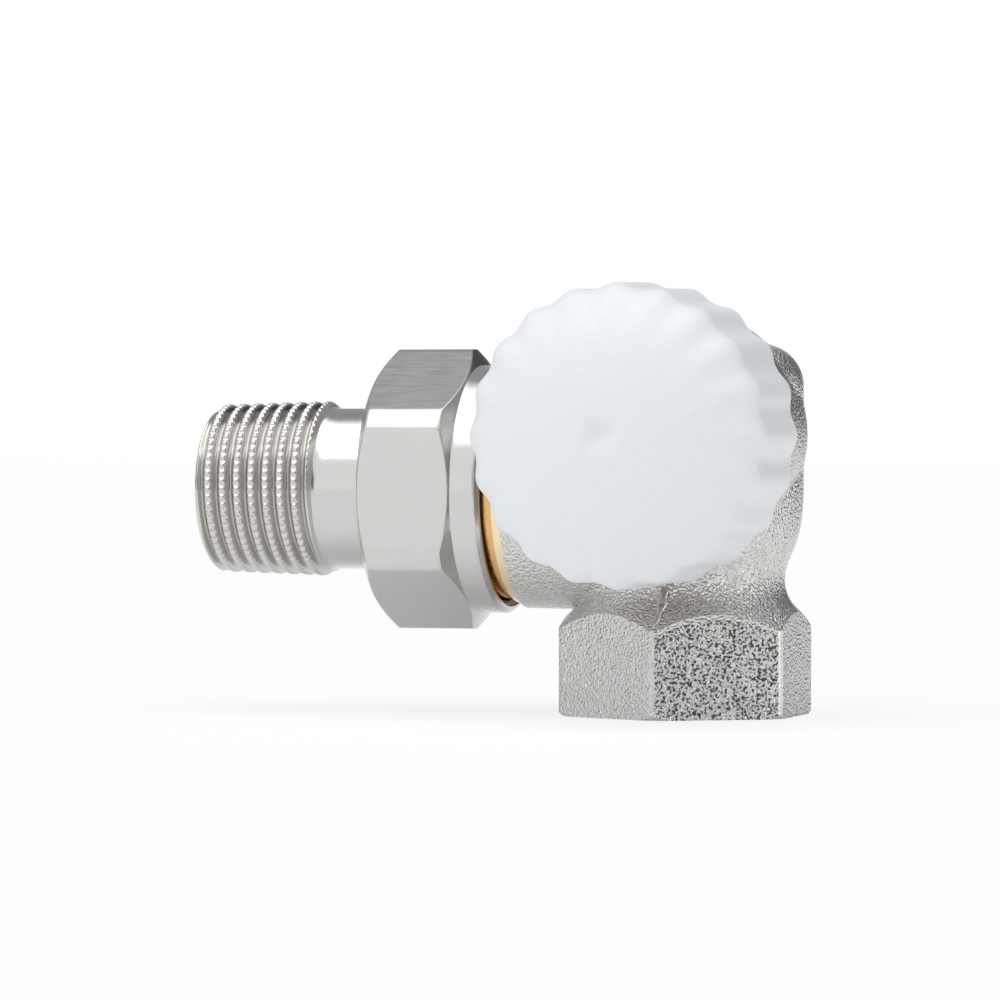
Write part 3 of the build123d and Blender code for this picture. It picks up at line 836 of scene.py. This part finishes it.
class VALVE_OT_union_nut(bpy.types.Operator):
    """Makes the union nut with its turned corners and broken edges"""

    bl_idname = "valve.union_nut"
    bl_label = "Union nut"

    def execute(self, context):
        colours = context.scene.valve_colours
        # Drawn bar keeps faint lines along its length in a satin plate, here coarser than real to show
        finish = worked_material(
            "Nickel-plated brass, drawn hexagon bar", colours.nickel, 1.0, 0.2, (3.0, 0.3, 0.3), 0.003
        )
        angle = ring_angles(6 * 72)
        # Each flat's distance from the axis, held short where it runs away from that flat
        flats = [NUT_HALF_FLATS / np.maximum(np.cos(angle - k * math.pi / 3), 0.2) for k in range(6)]
        hexagon = soft_least(flats, NUT_EDGE)
        places, radii = turned_rows(NUT_OUTLINE)
        rows = about_outlet(places, soft_least([radii, hexagon], NUT_EDGE), angle)
        nut = grid_object("union_nut_hexagon", rows, finish, loop=True)
        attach(nut, "nut")
        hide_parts("union_nut")
        return {"FINISHED"}


class VALVE_OT_tailpiece(bpy.types.Operator):
    """Makes the tailpiece with its knurled taper thread, neck, flange, bore and key ribs"""

    bl_idname = "valve.tailpiece"
    bl_label = "Tailpiece"

    def execute(self, context):
        sizes = context.scene.valve_sizes
        colours = context.scene.valve_colours
        # Turned and plated: a bright satin with lathe lines, which are too fine to show and so are drawn
        # about three times as coarse, and painted shade in the thread's roots
        finish = worked_material(
            "Nickel-plated brass, turned", colours.nickel, 1.0, 0.16, (0.15, 3.0, 3.0), 0.002
        )
        paint_root_shade(finish, colours.root_shade_painted)
        angle = ring_angles(sizes.knurl_count * 8)
        (end, end_radius), (neck_end, neck_radius) = TUBE_OUTLINE[0][:2], TUBE_OUTLINE[-1][:2]
        reach = np.linspace(neck_end, end, 110)[1:-1, None]
        taper = TAPER_RADIUS - (reach - TAPER_START) * TAPER_FALL
        # Rounded ridges: half the crest and the flank as shares of the pitch, then notches in the crest
        crest_half, flank_width, crest_foot = 0.10, 0.36, 0.80
        turn = reach / sizes.thread_pitch - angle / (2 * math.pi)
        off = np.abs((turn + 0.5) % 1 - 0.5)
        flank = np.clip((off - crest_half) / flank_width, 0, 1)
        ridge = 0.5 + 0.5 * np.cos(math.pi * flank)
        notch = (0.5 - 0.5 * np.cos(sizes.knurl_count * angle)) ** 1.5
        crest = np.clip((ridge - crest_foot) / (1 - crest_foot), 0, 1)
        radius = taper - sizes.thread_depth * (1 - ridge) - sizes.knurl_depth * notch * crest
        # The chamfer at the open end and the run-out at the neck, by how fast their radius grows
        face, chamfer_slope, runout_slope = TUBE_OUTLINE[1][0], 1.05, 0.9
        chamfer = end_radius + (face - reach) * chamfer_slope
        runout = neck_radius + (reach - neck_end) * runout_slope
        thread = about_outlet(reach, soft_least([radius, chamfer, runout], TAPER_EDGE), angle)
        places, radii = turned_rows(TUBE_OUTLINE)
        rows = np.concatenate([about_outlet(places, radii, angle), thread])
        tube = grid_object("tailpiece_tube", rows, finish, loop=True)
        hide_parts("tailpiece")
        pieces = [tube]
        # Two ribs in the bore hold the key that screws the tailpiece into the radiator
        for side, name in ((1, "tailpiece_key_rib_top"), (-1, "tailpiece_key_rib_bottom")):
            rows = []
            for place, inset in RIB_ENDS:
                narrow = side * (1 - inset / RIB_HALF)
                rows.append(
                    [(-place, narrow * y, OUTLET_HEIGHT + side * (z + inset)) for y, z in RIB_SECTION]
                )
            pieces.append(grid_object(name, rows, finish, ends=True))
        for piece in pieces:
            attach(piece, "tailpiece")
        return {"FINISHED"}


class VALVE_OT_cap(bpy.types.Operator):
    """Makes the moulded protective cap with its finger lobes and the soft dish of its gate"""

    bl_idname = "valve.cap"
    bl_label = "Protective cap"

    def execute(self, context):
        sizes = context.scene.valve_sizes
        # Moulded polypropylene: a soft white with a low satin gloss and the mould's faint grain, which is
        # drawn coarser than real so that it shows
        colour = context.scene.valve_colours.cap
        finish = worked_material("Polypropylene, moulded satin", colour, 0.0, 0.42, (0.6, 0.6, 0.6), 0.004)
        angle = ring_angles(sizes.cap_lobes * 24)
        draft = (CAP_FRONT_RADIUS - CAP_REAR_RADIUS) / (CAP_SHOULDER - CAP_SKIRT)
        # Rows from the inside over the rim, along the skirt, then up the dome to just short of its top
        rows = list(CAP_INSIDE + CAP_RIM)
        for place in (CAP_SKIRT, *np.linspace(18.5, 29.8, 12)):
            rows.append((place, CAP_REAR_RADIUS + draft * (place - CAP_SKIRT), 1.0))
        for climb in np.linspace(0, 89, 80):
            radius = CAP_FRONT_RADIUS * math.cos(math.radians(climb))
            place = CAP_SHOULDER + CAP_DOME * math.sin(math.radians(climb))
            dish = 0.5 + 0.5 * math.cos(math.pi * min(1.0, radius / sizes.cap_dish_radius))
            swell = max(0.0, 1 - (climb / CAP_LOBE_END) ** 2)
            rows.append((place - sizes.cap_dish_depth * dish, radius, swell))
        lobe = sizes.cap_lobe_height * np.cos(sizes.cap_lobes * angle)
        rings = [about_head(place, radius + swell * lobe, angle)[0] for place, radius, swell in rows]
        shell = grid_object("cap_shell", rings, finish, ends=True)
        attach(shell, "cap")
        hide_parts("protective_cap")
        return {"FINISHED"}


class VALVE_OT_insert(bpy.types.Operator):
    """Finishes the valve insert under the cap"""

    bl_idname = "valve.insert"
    bl_label = "Valve insert"

    def execute(self, context):
        colours = context.scene.valve_colours
        # Turned brass shines yellow with lines round the axis, drawn steel is a cooler grey with lines
        # along it, and moulded rubber is dull with a fine grain. Lines and grain are drawn coarser than
        # real so that they show
        finishes = {
            "insert_brass": worked_material(
                "Brass, turned", colours.brass, 1.0, 0.24, (3.0, 0.15, 3.0), 0.003
            ),
            "stainless": worked_material(
                "Stainless steel, drawn", colours.steel, 1.0, 0.28, (0.15, 3.0, 0.15), 0.002
            ),
            "seal_rubber": worked_material(
                "EPDM rubber, moulded", colours.rubber, 0.0, 0.55, (0.2, 0.2, 0.2), 0.01
            ),
        }
        for part in frame["record"]["subparts"]:
            if part["material_slot"] in finishes:
                dress(part["node"], finishes[part["material_slot"]])
        # The spring is drawn again, because it shortens as the cap presses the spindle in
        turns = np.linspace(0, 2 * math.pi * SPRING_TURNS, round(48 * SPRING_TURNS))[:, None]
        wire = ring_angles(12)
        climb = (SPRING_LENGTH - 2 * SPRING_WIRE) * turns / turns[-1]
        place = SPRING_FOOT + SPRING_WIRE + climb + SPRING_WIRE * np.sin(wire)
        rows = about_head(place, SPRING_RADIUS + SPRING_WIRE * np.cos(wire), turns)
        coil = grid_object("return_spring_coil", rows, finishes["stainless"], ends=True)
        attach(coil, "body")
        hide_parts("return_spring")
        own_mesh(coil)
        return {"FINISHED"}


class VALVE_OT_stage(bpy.types.Operator):
    """Sets the white floor, the soft lights and the camera"""

    bl_idname = "valve.stage"
    bl_label = "Studio"

    def execute(self, context):
        scene = context.scene
        studio = scene.valve_studio
        scene.view_settings.view_transform = "Standard"
        # Matt white studio floor: pale to the camera and to the metal, with a soft shadow left in it
        material, tree, shader = new_material("White paper sweep, matt")
        shader.inputs["Base Color"].default_value = (*scene.valve_colours.floor, 1)
        shader.inputs["Roughness"].default_value = 0.9
        shader.inputs["Specular IOR Level"].default_value = 0.0
        share = white_share(tree, studio.floor_seen, studio.floor_mirrored)
        glow = add_node(tree, "ShaderNodeEmission", {"Color": (1, 1, 1, 1), "Strength": 1.0})
        mix = add_node(
            tree,
            "ShaderNodeMixShader",
            feeds={0: share, 1: shader.outputs["BSDF"], 2: glow.outputs["Emission"]},
        )
        tree.links.new(mix.outputs["Shader"], tree.nodes["Material Output"].inputs["Surface"])
        bpy.ops.mesh.primitive_plane_add(size=FLOOR_SIZE, location=(0, 0, -FLOOR_DROP))
        floor = context.object
        floor.name = "studio_floor"
        floor.data.materials.append(material)
        # The room: a plain grey studio with soft white cards and cloths round the table
        world = bpy.data.worlds.new("Studio room")
        scene.world = world
        world.use_nodes = True
        tree = world.node_tree
        way = add_node(tree, "ShaderNodeTexCoord").outputs["Generated"]
        level = None
        for towards, full, faded, brightness in STUDIO_CARDS:
            facing = add_node(
                tree,
                "ShaderNodeVectorMath",
                {"operation": "DOT_PRODUCT", 1: Vector(towards).normalized()},
                {0: way},
            )
            mask = add_node(
                tree,
                "ShaderNodeMapRange",
                {
                    "interpolation_type": "SMOOTHSTEP",
                    "From Min": math.cos(math.radians(faded)),
                    "From Max": math.cos(math.radians(full)),
                },
                {"Value": facing.outputs["Value"]},
            )
            feeds = {0: mask.outputs["Result"]}
            if level:
                feeds[2] = level.outputs[0]
            level = add_node(
                tree, "ShaderNodeMix", {"data_type": "FLOAT", 2: studio.room_level, 3: brightness}, feeds
            )
        level = add_node(
            tree,
            "ShaderNodeMix",
            {"data_type": "FLOAT", 3: 1.0},
            {0: white_share(tree, 1.0, studio.room_mirrored), 2: level.outputs[0]},
        )
        tree.links.new(level.outputs[0], tree.nodes["Background"].inputs["Strength"])
        tree.nodes["Background"].inputs["Color"].default_value = (1, 1, 1, 1)
        light = bpy.data.lights.new("key_light", "AREA")
        light.shape = "SQUARE"
        light.size = LAMP_SIZE
        light.energy = studio.key_power
        lamp = bpy.data.objects.new("key_light", light)
        scene.collection.objects.link(lamp)
        lamp.location = LAMP_PLACE
        aim = Vector(LAMP_AIM) - lamp.location
        lamp.rotation_euler = aim.to_track_quat("-Z", "Y").to_euler()
        camera = bpy.data.cameras.new("camera")
        camera.sensor_width = 36.0
        camera.lens = studio.lens
        camera.clip_start = 0.01
        eye = bpy.data.objects.new("camera", camera)
        scene.collection.objects.link(eye)
        turn, lift = studio.azimuth, studio.elevation
        back = Vector((math.sin(turn) * math.cos(lift), -math.cos(turn) * math.cos(lift), math.sin(lift)))
        side = Vector((math.cos(turn), math.sin(turn), 0))
        up = back.cross(side)
        eye.location = back * studio.distance - side * VIEW_LEFT * MM + up * VIEW_UP * MM
        eye.rotation_euler = back.to_track_quat("Z", "Y").to_euler()
        scene.camera = eye
        return {"FINISHED"}


STEPS = (
    VALVE_OT_casting,
    VALVE_OT_union_nut,
    VALVE_OT_tailpiece,
    VALVE_OT_cap,
    VALVE_OT_insert,
    VALVE_OT_stage,
)


class VALVE_PT_panel(bpy.types.Panel):
    """Lists the steps that dress the valve body"""

    bl_idname = "VALVE_PT_panel"
    bl_label = "Radiator valve body"
    bl_space_type = "VIEW_3D"
    bl_region_type = "UI"
    bl_category = "Valve"

    def draw(self, context):
        for step in STEPS:
            self.layout.operator(step.bl_idname)
        for group in (context.scene.valve_sizes, context.scene.valve_colours, context.scene.valve_studio):
            for name in group.__annotations__:
                self.layout.prop(group, name)


CLASSES = (ValveSizes, ValveColours, ValveStudio, *STEPS, VALVE_PT_panel)


def register():
    for cls in CLASSES:
        bpy.utils.register_class(cls)
    bpy.types.Scene.valve_sizes = PointerProperty(type=ValveSizes)
    bpy.types.Scene.valve_colours = PointerProperty(type=ValveColours)
    bpy.types.Scene.valve_studio = PointerProperty(type=ValveStudio)


def unregister():
    del bpy.types.Scene.valve_studio
    del bpy.types.Scene.valve_colours
    del bpy.types.Scene.valve_sizes
    for cls in reversed(CLASSES):
        bpy.utils.unregister_class(cls)


def main():
    register()
    bpy.ops.valve.casting()
    bpy.ops.valve.union_nut()
    bpy.ops.valve.tailpiece()
    bpy.ops.valve.cap()
    bpy.ops.valve.insert()
    bpy.ops.valve.stage()


if __name__ == "__main__":
    main()
